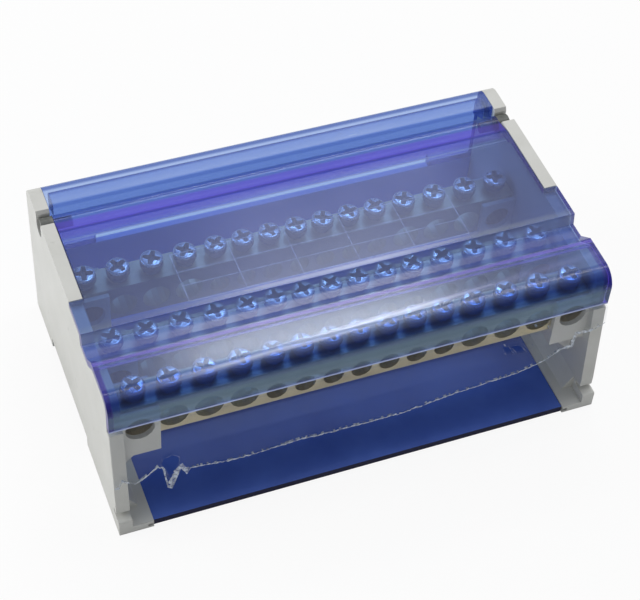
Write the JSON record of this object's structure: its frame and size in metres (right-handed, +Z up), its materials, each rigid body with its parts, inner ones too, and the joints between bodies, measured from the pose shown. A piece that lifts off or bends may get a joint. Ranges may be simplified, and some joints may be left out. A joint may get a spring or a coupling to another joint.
{
  "type": "power distribution block",
  "caption": "Rail-mounted terminal block with screw terminals in stepped brass bars, pale end walls and a hinged see-through blue cover; its clear front shield is broken.",
  "frame": {"origin": "centre of the underside, on the plane that the block stands on", "axes": "+X along the bars to the right end wall, +Y from the wire side to the hinge and the rear hood, +Z up away from the mounting rail"},
  "size_m": [0.135, 0.0826, 0.048],
  "materials": {
    "grey_plastic": "satin",
    "blue_clear": "gloss",
    "blue_base": "satin",
    "clear_sheet": "gloss",
    "brass": "satin",
    "zinc_steel": "satin"
  },
  "bodies": {
    "housing": {"left_end_wall": "grey_plastic", "right_end_wall": "grey_plastic", "base_tray": "blue_base", "rear_hood": "blue_clear", "front_shield": "clear_sheet", "busbar_front": "brass", "large_screws_front": "zinc_steel", "small_screws_front": "zinc_steel", "busbar_middle": "brass", "large_screws_middle": "zinc_steel", "small_screws_middle": "zinc_steel", "busbar_rear": "brass", "large_screws_rear": "zinc_steel", "small_screws_rear": "zinc_steel"},
    "cover": {"hinged_cover": "blue_clear", "hinge_pin_left": "blue_base", "hinge_pin_right": "blue_base"},
    "latch_left": {"rail_latch_left": "blue_base"},
    "latch_right": {"rail_latch_right": "blue_base"}
  },
  "joints": [
    {"name": "cover_hinge", "type": "hinge", "parent": "housing", "child": "cover", "pos_m": [0, 0.02805, 0.0445], "axis": [-1, 0, 0], "range_deg": [0, 95]},
    {"name": "latch_left_slide", "type": "slide", "parent": "housing", "child": "latch_left", "axis": [0, 1, 0], "range_m": [0, 0.0025]},
    {"name": "latch_right_slide", "type": "slide", "parent": "housing", "child": "latch_right", "axis": [0, 1, 0], "range_m": [0, 0.0025]}
  ]
}
